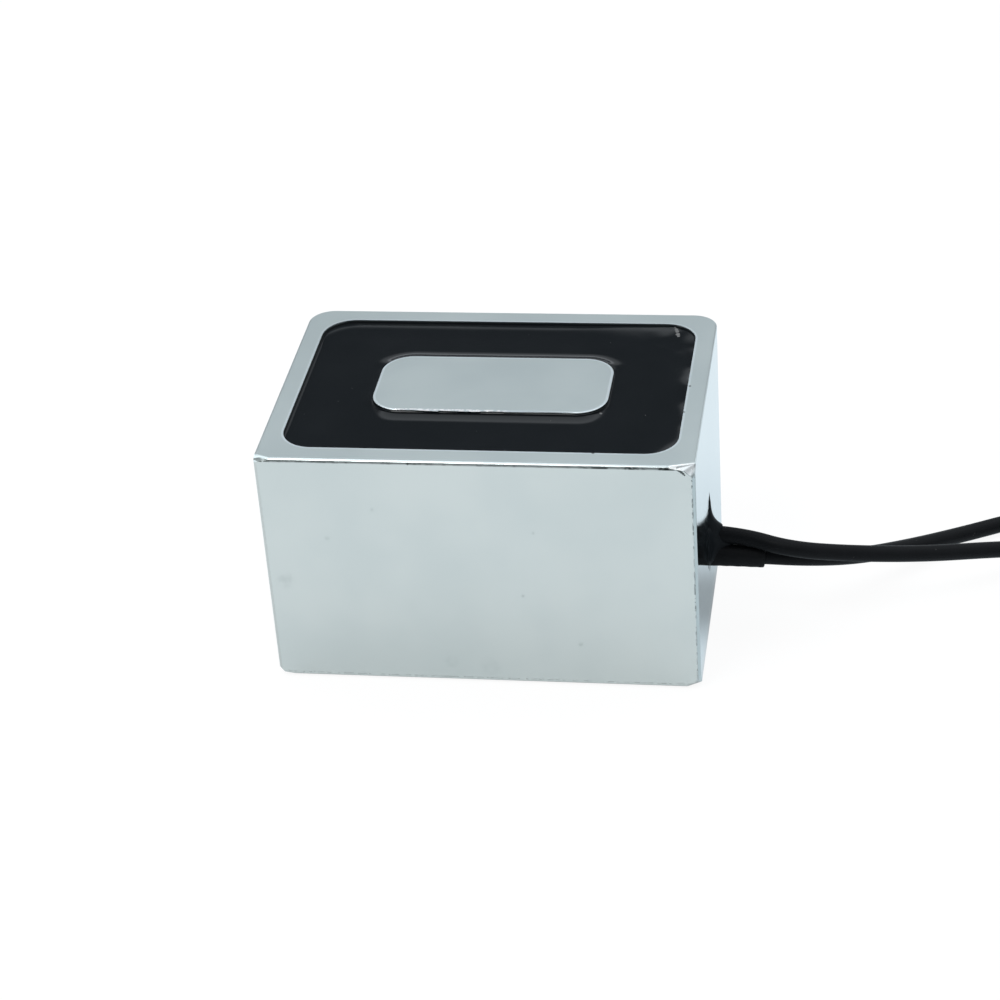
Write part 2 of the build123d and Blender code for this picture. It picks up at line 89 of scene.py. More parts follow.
# Each lead's way from the side face to the coil, and its free end after the coil
LEAD_A_ROUTE = [
    (25.0, -1.0, 10.7), (28.8, -1.05, 10.5), (34.6, -3.2, 10.1), (42.0, -1.1, 8.35),
    (50.5, 2.6, 6.15), (59.2, 7.0, 4.2), (65.0, 10.6, 2.1), (69.6, 14.0, 1.0),
]
LEAD_B_ROUTE = [
    (25.0, -1.6, 8.12), (29.2, -1.6, 8.12), (36.4, -0.9, 7.4), (42.2, 3.1, 5.2), (48.4, 9.1, 2.8),
    (54.8, 14.7, 1.15), (61.2, 18.4, 1.0), (68.0, 21.1, 1.0), (75.0, 22.8, 1.0),
]
LEAD_A_END = [(71.1, 6.9, 3.0), (71.7, 12.0, 2.9), (75.2, 15.8, 1.2), (80.2, 16.9, 1.0)]
LEAD_B_END = [(88.5, -1.3, 3.0), (84.2, -3.8, 3.0), (79.4, -5.3, 1.5), (74.5, -5.8, 1.05)]

# Resin spike on the side face, in millimetres above the floor and above its foot
SPIKE_FOOT = 11.2
SPIKE_HEIGHT = 5.2

# Tongue of resin that runs out of the back right corner, in millimetres
TONGUE_X = 18.91
TONGUE_Y = 10.24

# Ground-down front corners: right or left, top or bottom, and how far the cut reaches
# from the corner along X, Y and Z, in millimetres
CORNER_CUTS = [
    (1, 1, (4.4, 1.2, 0.7)), (1, 1, (1.8, 1.0, 1.7)), (-1, 1, (2.8, 1.1, 0.6)),
    (1, -1, (1.1, 1.4, 2.3)), (1, -1, (2.0, 1.4, 1.2)),
    (-1, -1, (0.9, 1.2, 1.3)), (-1, -1, (2.6, 1.3, 0.65)),
]

# Single pits in the steel: place and radius, in millimetres
PITS = [
    ((23.1, -17.45, 29.7), 0.14), ((23.3, -17.5, 29.55), 0.13), ((23.5, -17.5, 29.38), 0.12),
    ((23.68, -17.5, 29.2), 0.1), ((23.82, -17.5, 29.02), 0.06), ((-24.1, -17.5, 29.7), 0.1),
    ((22.96, 0.42, 30), 0.1), ((22.77, -5.49, 30), 0.1), ((13.41, -14.81, 30), 0.12),
    ((-7.2, -17.5, 29.7), 0.1),
]

# Faint stains on the steel: place and radius in millimetres, and strength
STAINS = [
    ((-17.4, -17.5, 19.5), 0.1, 0.3), ((-11.8, -17.5, 23.5), 0.08, 0.3),
    ((-4.1, -17.5, 2.6), 0.5, 0.14), ((0.5, -17.5, 2.3), 0.7, 0.14),
    ((11.2, -17.5, 5.7), 0.1, 0.4), ((4.84, -17.5, 12.24), 0.04, 0.5),
    ((6.49, -17.5, 20.9), 0.04, 0.5), ((10.4, -13.1, 30), 0.05, 0.4),
]

# Bubbles at the resin's surface: X, Y and radius, in millimetres
BUBBLES = [
    (19.96, 15.0, 0.07), (20.13, 14.6, 0.1), (20.27, 14.2, 0.1), (20.38, 13.6, 0.13),
    (20.5, 13.2, 0.06), (-11.9, -5.65, 0.05), (13.2, -5.2, 0.04),
]


# Plain maths

def ramp(value, start, end):
    """0 before the start, 1 after the end, and a smooth rise between."""
    share = min(max((value - start) / (end - start), 0.0), 1.0)
    return share * share * (3 - 2 * share)


def soft_rise(value, soft):
    """Near 0 for a value under 0 and near the value over 0, with a soft bend between."""
    return soft * log(1 + exp(value / soft))


# Shader maths

class Value:
    """A socket or a number in a material, which Python's operators combine."""

    def __init__(self, tree, socket):
        self.tree = tree
        self.socket = socket

    def node(self, kind, inputs=(), output=0, **settings):
        made = self.tree.nodes.new(kind)
        for name, setting in settings.items():
            setattr(made, name, setting)
        for name, given in dict(inputs).items():
            if isinstance(given, Value):
                given = given.socket
            if isinstance(given, bpy.types.NodeSocket):
                self.tree.links.new(given, made.inputs[name])
            else:
                made.inputs[name].default_value = given
        return Value(self.tree, made.outputs[output])

    def math(self, operation, *others):
        values = dict(enumerate((self, *others)))
        return self.node("ShaderNodeMath", values, operation=operation)

    def __add__(self, other):
        return self.math("ADD", other)

    def __mul__(self, other):
        return self.math("MULTIPLY", other)

    def __sub__(self, other):
        return self.math("SUBTRACT", other)

    def __rsub__(self, other):
        return (self * -1.0).math("ADD", other)

    def __truediv__(self, other):
        return self.math("DIVIDE", other)

    __radd__ = __add__

    def absolute(self):
        return self.math("ABSOLUTE")

    def above(self, limit, soft):
        """0 under the limit and 1 from soft above it, with a smooth step between."""
        return self.node(
            "ShaderNodeMapRange",
            {"Value": self, "From Min": limit, "From Max": limit + soft},
            interpolation_type="SMOOTHSTEP",
        )

    def below(self, limit, soft):
        return 1 - self.above(limit - soft, soft)

    def larger(self, other):
        return self.math("MAXIMUM", other)


class Finish:
    """A material in the making, with its shader and the piece's own coordinates."""

    def __init__(self, name, **constants):
        self.material = bpy.data.materials.new(name)
        self.material.use_nodes = True
        self.tree = self.material.node_tree
        self.shader = self.tree.nodes["Principled BSDF"]
        for socket, constant in constants.items():
            self.shader.inputs[socket.replace("_", " ")].default_value = constant
        coordinates = self.tree.nodes.new("ShaderNodeTexCoord")
        self.place = Value(self.tree, coordinates.outputs["Object"])
        split = self.tree.nodes.new("ShaderNodeSeparateXYZ")
        self.tree.links.new(self.place.socket, split.inputs[0])
        self.x, self.y, self.z = [Value(self.tree, out) for out in split.outputs]

    def noise(self, scale, detail=2.0, roughness=0.5, stretch=(1, 1, 1)):
        """Noise with about scale lumps to the metre, drawn out along the axes by stretch."""
        spread = self.place.node(
            "ShaderNodeMapping", {"Vector": self.place, "Scale": tuple(1 / s for s in stretch)}
        )
        return spread.node(
            "ShaderNodeTexNoise",
            {"Vector": spread, "Scale": scale, "Detail": detail, "Roughness": roughness},
        )

    def mix(self, factor, first, second):
        """Blend of two colours."""
        return self.place.node(
            "ShaderNodeMix",
            {0: factor, 6: rgba(first), 7: rgba(second)},
            output=2,
            data_type="RGBA",
        )

    def bump(self, height, distance, strength):
        relief = self.place.node(
            "ShaderNodeBump", {"Height": height, "Distance": distance, "Strength": strength}
        )
        self.set("Normal", relief)

    def set(self, socket, value):
        self.tree.links.new(value.socket, self.shader.inputs[socket])


def rgba(colour):
    """Colour as a shader takes it, or the value that stands for one."""
    return colour if isinstance(colour, Value) else (*colour, 1.0)


def spot(finish, centre, radius, soft):
    """1 inside a round mark on the surface and 0 outside it."""
    away = finish.place.node(
        "ShaderNodeVectorMath",
        {0: finish.place, 1: tuple(c * MM for c in centre)},
        output=1,
        operation="DISTANCE",
    )
    return away.below((radius + soft) * MM, soft * MM)


def from_outline(finish, size, radius):
    """Distance outside a rounded rectangle round the top's middle."""
    dx = (finish.x.absolute() - (size.x / 2 - radius)).larger(0.0)
    dy = ((finish.y - MIDDLE_Y).absolute() - (size.y / 2 - radius)).larger(0.0)
    return (dx * dx + dy * dy).math("SQRT") - radius


def paint_rim_highlights(steel, clouds, colour):
    """Painted highlight along the outline of slot and pole, and painted white glints on the burr
    left on the pole's front edge.
    """
    top = steel.z.above(29.9 * MM, 0.04 * MM)
    round_slot = from_outline(steel, SLOT, SLOT_RADIUS)
    round_pole = from_outline(steel, POLE, POLE_RADIUS)
    rim_highlight = round_slot.below(0.3 * MM, 0.12 * MM) * round_slot.above(-0.1 * MM, 0.05 * MM)
    pole_rim = round_pole.above(-0.36 * MM, 0.12 * MM) * round_pole.below(0.7 * MM, 0.1 * MM)
    rim_highlight = (rim_highlight * (0.4 + clouds)).larger(pole_rim) * top
    # Painted highlight: the broken edges round slot and pole are lifted towards a bright tone.
    colour = steel.mix(rim_highlight * 0.8, colour, (0.70, 0.765, 0.79))
    along = (steel.x + 4.2 * MM).absolute().below(7.2 * MM, 1.5 * MM)
    burr_at = along * steel.y.below(-5.7 * MM, 0.1 * MM)
    # Painted glints: patches of the pole's front burr are painted white.
    burr = burr_at * steel.noise(1500, 2, 0.6).above(0.42, 0.12) * pole_rim * top
    return steel.mix(burr, colour, (1.0, 1.0, 1.0))


def paint_edge_shade(steel, front, clouds, colour):
    """Painted shade: greyer strips down the front's rounded sides and a dark line along its foot.
    """
    # Painted shade on the front's rounded side edges.
    painted_side_shade = steel.x.absolute().above(24.58 * MM, 0.06 * MM) * steel.y.below(-17.1 * MM, 0.06 * MM)
    colour = steel.mix(painted_side_shade * 0.45, colour, (0.43, 0.47, 0.47))
    # Painted shade along the foot, where the block meets the floor.
    painted_foot_shade = steel.z.below(0.3 * MM, 0.14 * MM) * front * clouds.above(0.3, 0.3)
    return steel.mix(painted_foot_shade * 0.55, colour, (0.2, 0.23, 0.24))


def edge_pits(steel, front):
    """Pits in the plating, in a thin line along each outer edge of the front, and single ones."""
    under_top = (steel.z - 29.72 * MM).absolute().below(0.17 * MM, 0.07 * MM)
    under_top = under_top * steel.x.below(23 * MM, 0.3 * MM)
    over_base = (steel.z - 0.5 * MM).absolute().below(0.09 * MM, 0.08 * MM)
    inner = (steel.x.absolute() - 24.62 * MM).absolute().below(0.12 * MM, 0.08 * MM)
    outer = (steel.y + 17.1 * MM).absolute().below(0.12 * MM, 0.09 * MM)
    outer = outer * steel.x.absolute().above(24.7 * MM, 0.1 * MM)
    beside = inner.larger(outer * 0.7)
    dashes = steel.noise(1000, 4, 0.75, stretch=(1.6, 1, 1)).above(0.44, 0.14)
    dots = steel.noise(2300, 3, 0.75, stretch=(1, 1, 1.4)).above(0.46, 0.08)
    worn = 0.2 + steel.noise(260, 2).above(0.34, 0.2) * 0.8
    right = 0.12 + steel.x.above(0, 1 * MM) * 0.8
    line = under_top * (0.4 + dashes * (0.4 + steel.x.above(8 * MM, 12 * MM) * 0.4))
    side_line = beside * dots * worn * right * 0.7
    pits = front * line.larger(side_line).larger(over_base * dots * 0.4)
    for centre, radius in PITS:
        pits = pits.larger(spot(steel, centre, radius, 0.08))
    return pits


def painted_corner_highlight(steel):
    """Painted highlight on the cut facet at the right end of the front's top edge."""
    facet = spot(steel, (23.5, -16.9, 29.85), 1.3, 0.3) * steel.z.below(29.985 * MM, 0.02 * MM)
    return facet * steel.y.above(-17.46 * MM, 0.04 * MM)


def stained(steel):
    """Faint stains left on the front and the top."""
    stain = spot(steel, (-22.85, -17.5, 13.5), 0.3, 1.3) * 0.3
    for centre, radius, strength in STAINS:
        stain = stain.larger(spot(steel, centre, radius, 0.25 + radius) * strength)
    return stain * steel.noise(1200, 3).above(0.3, 0.3)


def plated_steel():
    """Bright nickel plate on milled steel, ground on top and polished at both ends."""
    steel = Finish("plated_steel", Metallic=1.0)
    clouds = steel.noise(70, 3, 0.55)
    streaks = steel.noise(160, 2, 0.5, stretch=(1, 1, 6))
    grain = steel.noise(5200, 2, 0.6)
    front = steel.y.below(-16.9 * MM, 0.1 * MM)
    colour = steel.mix(clouds.above(0.35, 0.35), (0.535, 0.598, 0.602), (0.57, 0.63, 0.63))
    colour = steel.mix(streaks.above(0.5, 0.3) * 0.25, colour, (0.51, 0.575, 0.587))
    # Painted highlights on the rims round slot and pole and on the pole's burr.
    colour = paint_rim_highlights(steel, clouds, colour)
    # Painted shade on the front's rounded side edges and along its foot.
    colour = paint_edge_shade(steel, front, clouds, colour)
    pits = edge_pits(steel, front)
    colour = steel.mix(pits * 0.85, colour, (0.03, 0.036, 0.034))
    # Painted highlight: the corner facet is painted near white.
    colour = steel.mix(painted_corner_highlight(steel), colour, (0.9, 0.93, 0.93))
    steel.set("Base Color", steel.mix(stained(steel), colour, (0.36, 0.41, 0.42)))
    ground_top = steel.z.above(29.9 * MM, 0.08 * MM)
    polished = steel.x.absolute().above(24.7 * MM, 0.25 * MM)
    roughness = 0.18 + ground_top * 0.24 - polished * 0.13
    steel.set("Roughness", roughness + clouds * 0.04 + grain * 0.03 + pits * 0.35)
    steel.bump(grain + pits * -4, 0.004 * MM, 0.6)
    return steel.material


def potting_resin(name, gloss, base_roughness):
    """Black epoxy with dust and bubbles, glossy in the slot and duller where it is smeared."""
    resin = Finish(name, IOR=1.5, Specular_IOR_Level=gloss)
    dust = resin.noise(2600, 1, 0.5).above(0.82, 0.03)
    for x, y, radius in BUBBLES:
        dust = dust.larger(spot(resin, (x, y, 29.5), radius + 0.08, 0.1))
    haze = resin.noise(150, 3, 0.5)
    colour = resin.mix(haze, (0.0074, 0.0094, 0.0112), (0.0102, 0.0124, 0.0146))
    resin.set("Base Color", resin.mix(dust * 0.6, colour, (0.25, 0.25, 0.25)))
    resin.set("Roughness", base_roughness + haze * 0.08 + dust * 0.4)
    resin.bump(resin.noise(420, 2, 0.5), 0.015 * MM, 0.5)
    return resin.material


def lead_jacket():
    """Soft black silicone with a satin skin."""
    jacket = Finish("lead_jacket", IOR=1.45, Specular_IOR_Level=0.1)
    cloud = jacket.noise(500, 3, 0.6)
    fine = jacket.noise(4000, 2, 0.6)
    dust = jacket.noise(2200, 1, 0.5).above(0.76, 0.04)
    colour = jacket.mix(cloud, (0.0042, 0.0048, 0.0056), (0.007, 0.0076, 0.009))
    jacket.set("Base Color", jacket.mix(dust * 0.35, colour, (0.08, 0.08, 0.08)))
    jacket.set("Roughness", 0.42 + cloud * 0.12)
    jacket.bump(fine, 0.006 * MM, 0.6)
    return jacket.material


def shrink_sleeve():
    """Black shrunk sleeve, a little duller than the jacket."""
    sleeve = Finish("shrink_sleeve", IOR=1.45, Specular_IOR_Level=0.12)
    cloud = sleeve.noise(700, 3, 0.6)
    sleeve.set("Base Color", sleeve.mix(cloud, (0.0045, 0.005, 0.0058), (0.008, 0.0085, 0.0095)))
    sleeve.set("Roughness", 0.46 + cloud * 0.14)
    sleeve.bump(sleeve.noise(2400, 2, 0.6), 0.008 * MM, 0.6)
    return sleeve.material


def bobbin_nylon():
    """Natural moulded nylon."""
    nylon = Finish("bobbin_nylon", IOR=1.5)
    cloud = nylon.noise(260, 3, 0.5)
    nylon.set("Base Color", nylon.mix(cloud, (0.70, 0.66, 0.55), (0.78, 0.74, 0.63)))
    nylon.set("Roughness", 0.4 + cloud * 0.15)
    nylon.bump(nylon.noise(3000, 2), 0.004 * MM, 0.5)
    return nylon.material


def magnet_wire():
    """Enamelled copper wire, whose turns lie one over the other."""
    wire = Finish("magnet_wire", Metallic=1.0)
    turns = (wire.z * (tau / (0.45 * MM))).math("SINE").absolute()
    cloud = wire.noise(300, 3)
    wire.set("Base Color", wire.mix(cloud, (0.62, 0.22, 0.075), (0.75, 0.31, 0.12)))
    wire.set("Roughness", 0.25 + cloud * 0.15)
    wire.bump(turns, 0.1 * MM, 0.7)
    return wire.material


def polyester_tape():
    """Yellow film tape, slightly wrinkled."""
    tape = Finish("polyester_tape", IOR=1.57)
    folds = tape.noise(220, 2, 0.5, stretch=(1, 1, 4))
    tape.set("Base Color", tape.mix(folds, (0.72, 0.46, 0.035), (0.83, 0.56, 0.06)))
    tape.set("Roughness", 0.2 + folds * 0.15)
    tape.bump(folds, 0.05 * MM, 0.6)
    return tape.material


def tinned(name, dark, bright, base_roughness):
    """Tin or solder, from its darker to its brighter tone."""
    tin = Finish(name, Metallic=1.0)
    cloud = tin.noise(1500, 3, 0.6)
    tin.set("Base Color", tin.mix(cloud, dark, bright))
    tin.set("Roughness", base_roughness + cloud * 0.2)
    tin.bump(tin.noise(5000, 2), 0.005 * MM, 0.6)
    return tin.material


def tie_nylon():
    """Black moulded nylon of the cable tie."""
    nylon = Finish("tie_nylon", IOR=1.5)
    cloud = nylon.noise(900, 3)
    nylon.set("Base Color", nylon.mix(cloud, (0.010, 0.010, 0.011), (0.018, 0.018, 0.019)))
    nylon.set("Roughness", 0.35 + cloud * 0.15)
    nylon.bump(nylon.noise(3000, 2), 0.006 * MM, 0.6)
    return nylon.material


FINISHES = {
    "plated_steel": plated_steel(),
    "potting_resin": potting_resin("potting_resin", gloss=0.18, base_roughness=0.07),
    "smeared_resin": potting_resin("smeared_resin", gloss=0.05, base_roughness=0.35),
    "lead_jacket": lead_jacket(),
    "shrink_sleeve": shrink_sleeve(),
    "bobbin_nylon": bobbin_nylon(),
    "magnet_wire": magnet_wire(),
    "polyester_tape": polyester_tape(),
    "solder": tinned("solder", (0.46, 0.47, 0.47), (0.62, 0.63, 0.62), 0.15),
    "tinned_copper": tinned("tinned_copper", (0.5, 0.49, 0.47), (0.66, 0.65, 0.63), 0.25),
    "tie_nylon": tie_nylon(),
}


# Modelling by operators

def clear_selection():
    if bpy.context.object and bpy.context.object.mode != "OBJECT":
        bpy.ops.object.mode_set(mode="OBJECT")
    bpy.ops.object.select_all(action="DESELECT")


def make_active(piece):
    clear_selection()
    piece.select_set(True)
    bpy.context.view_layer.objects.active = piece


def settle(piece, name):
    """Name a piece and put its place into its mesh."""
    make_active(piece)
    piece.name = name
    piece.data.name = name
    bpy.ops.object.transform_apply(location=True, rotation=True, scale=True)
    return piece


def add_box(name, size, centre):
    clear_selection()
    bpy.ops.mesh.primitive_cube_add(size=1, location=centre, scale=size)
    return settle(bpy.context.object, name)


def add_cylinder(name, radius, depth, centre, vertices, turn=(0, 0, 0)):
    clear_selection()
    bpy.ops.mesh.primitive_cylinder_add(
        vertices=vertices, radius=radius, depth=depth, location=centre, rotation=turn
    )
    return settle(bpy.context.object, name)


def edit(piece, mode="EDGE"):
    """Open a piece in edit mode with nothing selected, and give its mesh."""
    make_active(piece)
    bpy.ops.object.mode_set(mode="EDIT")
    bpy.ops.mesh.select_mode(type=mode)
    bpy.ops.mesh.select_all(action="DESELECT")
    return bmesh.from_edit_mesh(piece.data)


def pick(piece, kind, test):
    """Select the vertices, edges or faces of a piece that pass a test, in edit mode."""
    shape = edit(piece, {"verts": "VERT", "edges": "EDGE", "faces": "FACE"}[kind])
    count = 0
    for element in getattr(shape, kind):
        chosen = test(element)
        element.select_set(bool(chosen))
        count += bool(chosen)
    shape.select_flush_mode()
    bmesh.update_edit_mesh(piece.data)
    if not count:
        raise ValueError(f"nothing picked on {piece.name}")


def leave_edit():
    bpy.ops.object.mode_set(mode="OBJECT")


def middle(edge):
    return (edge.verts[0].co + edge.verts[1].co) / 2


def is_upright(edge):
    along = edge.verts[1].co - edge.verts[0].co
    return abs(along.z) > 0.99 * along.length


def runs_along_y(edge):
    return abs(edge.verts[0].co.y - edge.verts[1].co.y) > 1 * MM


def bevel_picked(offset, segments, affect="EDGES"):
    bpy.ops.mesh.bevel(
        offset_type="OFFSET", offset=offset, segments=segments, profile=0.5, affect=affect
    )
    leave_edit()


def cut(piece, cutter, operation="DIFFERENCE"):
    """Take another solid out of a piece, or add it, and drop the other solid."""
    make_active(piece)
    change = piece.modifiers.new("cut", "BOOLEAN")
    change.object = cutter
    change.operation = operation
    change.solver = "EXACT"
    bpy.ops.object.modifier_apply(modifier=change.name)
    bpy.data.objects.remove(cutter)


def smooth(piece, angle, weighted=True):
    """Shade a piece smooth across its soft edges, with flat faces kept flat."""
    make_active(piece)
    bpy.ops.object.shade_smooth_by_angle(angle=radians(angle))
    if weighted:
        even = piece.modifiers.new("even", "WEIGHTED_NORMAL")
        even.keep_sharp = True
        bpy.ops.object.modifier_apply(modifier=even.name)


def dress(piece, finish, *nodes):
    """Give a piece its material and its body, and hide the CAD nodes that it stands for."""
    piece.data.materials.clear()
    piece.data.materials.append(FINISHES[finish])
    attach(piece, "root")
    if nodes:
        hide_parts(*nodes)
    return piece


# The leads

def hump(angle):
    """How far the strap under the coil lifts the strands, at an angle from it in degrees."""
    away = min(abs(angle), 360 - abs(angle))
    if away <= LIFT_HELD:
        return STRAP_LIFT
    return STRAP_LIFT * max(0.0, 1 - (away - LIFT_HELD) / LIFT_FADES)


def coil_points(entry, steps, radius, climb_from, climb_to):
    """Points of one lead's turns, clockwise, first on the floor and then on its own first turn."""
    reach = radius * COIL_SWELL
    points = []
    for step in range(steps + 1):
        swept = step * COIL_STEP
        angle = entry - swept
        points.append((
            COIL_X + reach * cos(radians(angle)),
            COIL_Y + reach * sin(radians(angle)),
            FIRST_LAYER + LAYER_RISE * ramp(swept, climb_from, climb_to) + hump(angle % 360),
        ))
    return points


def make_lead(name, points):
    """Round lead as one smooth open curve."""
    line = bpy.data.curves.new(name, "CURVE")
    line.dimensions = "3D"
    line.resolution_u = 12
    line.bevel_depth = LEAD_RADIUS
    line.bevel_resolution = 6
    line.use_fill_caps = True
    spline = line.splines.new("NURBS")
    spline.points.add(len(points) - 1)
    for point, place in zip(spline.points, points):
        point.co = (*(c * MM for c in place), 1.0)
    spline.order_u = 3
    spline.use_endpoint_u = True
    spline.use_smooth = True
    lead = bpy.data.objects.new(name, line)
    bpy.context.scene.collection.objects.link(lead)
    return lead


def centre_line(lead):
    """Points along a lead's smooth line."""
    bare = lead.data.copy()
    bare.bevel_depth = 0
    carrier = bpy.data.objects.new("bare_line", bare)
    bpy.context.scene.collection.objects.link(carrier)
    bpy.context.view_layer.update()
    seen = carrier.evaluated_get(bpy.context.evaluated_depsgraph_get())
    mesh = bpy.data.meshes.new_from_object(seen)
    points = [vertex.co.copy() for vertex in mesh.vertices]
    bpy.data.objects.remove(carrier)
    return points


def line_length(points):
    return sum((b - a).length for a, b in zip(points, points[1:]))


def join_rings(shape, first, second):
    """Band of faces between two rings of as many vertices."""
    for k in range(len(first)):
        shape.faces.new((first[k], first[k - 1], second[k - 1], second[k]))


def piece_from(shape, name):
    """New piece with the shape, its faces turned outward."""
    shape.normal_update()
    bmesh.ops.recalc_face_normals(shape, faces=shape.faces)
    mesh = bpy.data.meshes.new(name)
    shape.to_mesh(mesh)
    shape.free()
    piece = bpy.data.objects.new(name, mesh)
    bpy.context.scene.collection.objects.link(piece)
    return piece


def tube_along(name, points, rings):
    """Closed tube round a line, whose rings are (distance along the line, radius)."""
    sides = 40
    shape = bmesh.new()
    loops = []
    side = Vector((0, 1, 0))
    for distance, radius in rings:
        place, along = point_at(points, distance)
        side = (side - along * side.dot(along)).normalized()
        over = along.cross(side)
        loops.append([
            shape.verts.new(place + (side * cos(t) + over * sin(t)) * radius)
            for t in (tau * k / sides for k in range(sides))
        ])
    for first, second in zip(loops, loops[1:] + loops[:1]):
        join_rings(shape, first, second)
    return piece_from(shape, name)


def point_at(points, distance):
    """Place and direction at a distance along a line, also before its start."""
    if distance <= 0:
        along = (points[1] - points[0]).normalized()
        return points[0] + along * distance, along
    for a, b in zip(points, points[1:]):
        run = (b - a).length
        if distance <= run:
            return a.lerp(b, distance / run), (b - a).normalized()
        distance -= run
    along = (points[-1] - points[-2]).normalized()
    return points[-1] + along * distance, along


def make_exit_sleeve(line):
    """Sleeve on the lower lead, with a soft lip at each end."""
    wall = [(-1.8, 1.02), (-1.8, 1.34), (-1.76, SLEEVE_OUTSIDE)]
    wall += [(s * 0.4, 1.39 + 0.015 * sin(s * 1.7)) for s in range(0, 16)]
    wall += [(6.25, SLEEVE_OUTSIDE), (6.4, 1.33), (6.46, 1.2), (6.46, 1.05), (6.42, 1.005)]
    wall += [(5.0, 1.004), (2.5, 1.004), (0.0, 1.004)]
    sleeve = tube_along("exit_sleeve_wall", line, [(s * MM, r * MM) for s, r in wall])
    smooth(sleeve, 40, weighted=False)
    return dress(sleeve, "shrink_sleeve", "exit_sleeve")


def make_tip(name, line, node):
    """Stripped strands at a lead's end, twisted and tinned together."""
    sides = 42
    steps = 40
    twist = 2.4  # radians over the whole tip
    rounded_from = 0.93  # share of the length where the rounded end begins
    between_strands = 0.47
    strand_rise = 0.08
    shape = bmesh.new()
    loops = []
    for k in range(steps + 1):
        share = k / steps
        place, along = point_at(line, line_length(line) + (TIP_LENGTH * share - 0.02) * MM)
        side = (Vector((0, 0, 1)) - along * along.z).normalized()
        over = along.cross(side)
        end = max(0.0, (share - rounded_from) / (1 - rounded_from))
        taper = sqrt(max(0.0, 1 - 0.75 * end * end))
        loop = []
        for j in range(sides):
            turn = tau * j / sides
            strand = abs(sin(3 * (turn + share * twist)))
            radius = (between_strands + strand_rise * strand) * taper * MM
            loop.append(shape.verts.new(place + (side * cos(turn) + over * sin(turn)) * radius))
        loops.append(loop)
    for first, second in zip(loops, loops[1:]):
        join_rings(shape, first, second)
    shape.faces.new(loops[0])
    shape.faces.new(loops[-1])
    tip = piece_from(shape, name)
    smooth(tip, 50, weighted=False)
    return dress(tip, "tinned_copper", node)


def make_leads():
    """Both leads, the pieces on them, and their coil."""
    turns_a = coil_points(entry=135, steps=28, radius=11, climb_from=290, climb_to=340)
    turns_b = coil_points(entry=90, steps=22, radius=13, climb_from=190, climb_to=262)
    lead_a = make_lead("lead_upper", LEAD_A_ROUTE + turns_a + LEAD_A_END)
    dress(lead_a, "lead_jacket", "lead_a", "lead_coil", "lead_a_end")
    lead_b = make_lead("lead_lower", LEAD_B_ROUTE + turns_b + LEAD_B_END)
    dress(lead_b, "lead_jacket", "lead_b", "lead_coil", "lead_b_end")
    line_a = centre_line(lead_a)
    line_b = centre_line(lead_b)
    sleeve = make_exit_sleeve(line_b)
    tip_a = make_tip("tip_upper", line_a, "lead_a_tip")
    tip_b = make_tip("tip_lower", line_b, "lead_b_tip")
    return lead_a, lead_b, sleeve, tip_a, tip_b


# The yoke

def make_blank():
    """Outer block: rounded back corners, soft front edges and ground-down front corners."""
    blank = add_box("yoke", (WIDTH, DEPTH, HEIGHT), (0, 0, HEIGHT / 2))
    pick(blank, "edges", lambda e: is_upright(e) and middle(e).y > 0)
    bevel_picked(BACK_CORNER_RADIUS, 14)
    shape = edit(blank)
    sizes = shape.edges.layers.float.new("bevel_weight_edge")
    sharp = radians(25)
    near_front = 1 * MM - DEPTH / 2
    for edge in shape.edges:
        if edge.calc_face_angle() > sharp:
            on_front = all(v.co.y < near_front for v in edge.verts)
            edge[sizes] = 1.0 if on_front else OTHER_EDGES
    bmesh.update_edit_mesh(blank.data)
    leave_edit()
    edges = blank.modifiers.new("edges", "BEVEL")
    edges.limit_method = "WEIGHT"
    edges.width = EDGE_BEVEL
    edges.segments = 6
    bpy.ops.object.modifier_apply(modifier=edges.name)
    for side, up, reaches in CORNER_CUTS:
        corner = Vector((side * WIDTH / 2, -DEPTH / 2, HEIGHT if up > 0 else 0))
        pick(blank, "faces", lambda f: True)
        bpy.ops.mesh.bisect(
            plane_co=corner - Vector((side * reaches[0] * MM, 0, 0)),
            plane_no=Vector((side / reaches[0], -1 / reaches[1], up / reaches[2])).normalized(),
            clear_outer=True,
        )
        bpy.ops.mesh.select_all(action="SELECT")
        bpy.ops.mesh.remove_doubles(threshold=0.005 * MM)
        bpy.ops.mesh.fill_holes(sides=0)
        leave_edit()
    return blank


def draw_in(piece, top, rise):
    """Carry a solid's top face up and inward by its broken edge."""
    size = Vector((
        max(v.co.x for v in piece.data.vertices) * 2,
        (max(v.co.y for v in piece.data.vertices) - MIDDLE_Y) * 2,
    ))
    for share, inward in ((0.35, 0.12), (0.3, 0.28), (0.35, 0.6)):
        pick(piece, "faces", lambda f: f.normal.z > 0.9)
        bpy.ops.mesh.extrude_region_move(TRANSFORM_OT_translate={"value": (0, 0, rise * share)})
        step = 2 * inward * rise
        bpy.ops.transform.resize(
            value=(1 - step / size.x, 1 - step / size.y, 1), center_override=(0, MIDDLE_Y, top)
        )
        leave_edit()
        size -= Vector((step, step))


def make_slot_cutter():
    """Solid of the slot, as if it had no pole in it."""
    base, top = SLOT_FLOOR, HEIGHT + 1 * MM
    slot = add_box("slot", (SLOT.x, SLOT.y, top - base), (0, MIDDLE_Y, (base + top) / 2))
    pick(slot, "edges", is_upright)
    bevel_picked(SLOT_RADIUS, 16)
    return slot


def make_pole():
    """Centre pole, standing in the base."""
    base, top = SLOT_FLOOR - 1 * MM, HEIGHT - DEBURR / 2
    pole = add_box("pole", (POLE.x, POLE.y, top - base), (0, MIDDLE_Y, (base + top) / 2))
    pick(pole, "edges", is_upright)
    bevel_picked(POLE_RADIUS, 14)
    draw_in(pole, top, DEBURR / 2)
    roughen_front(pole)
    return pole


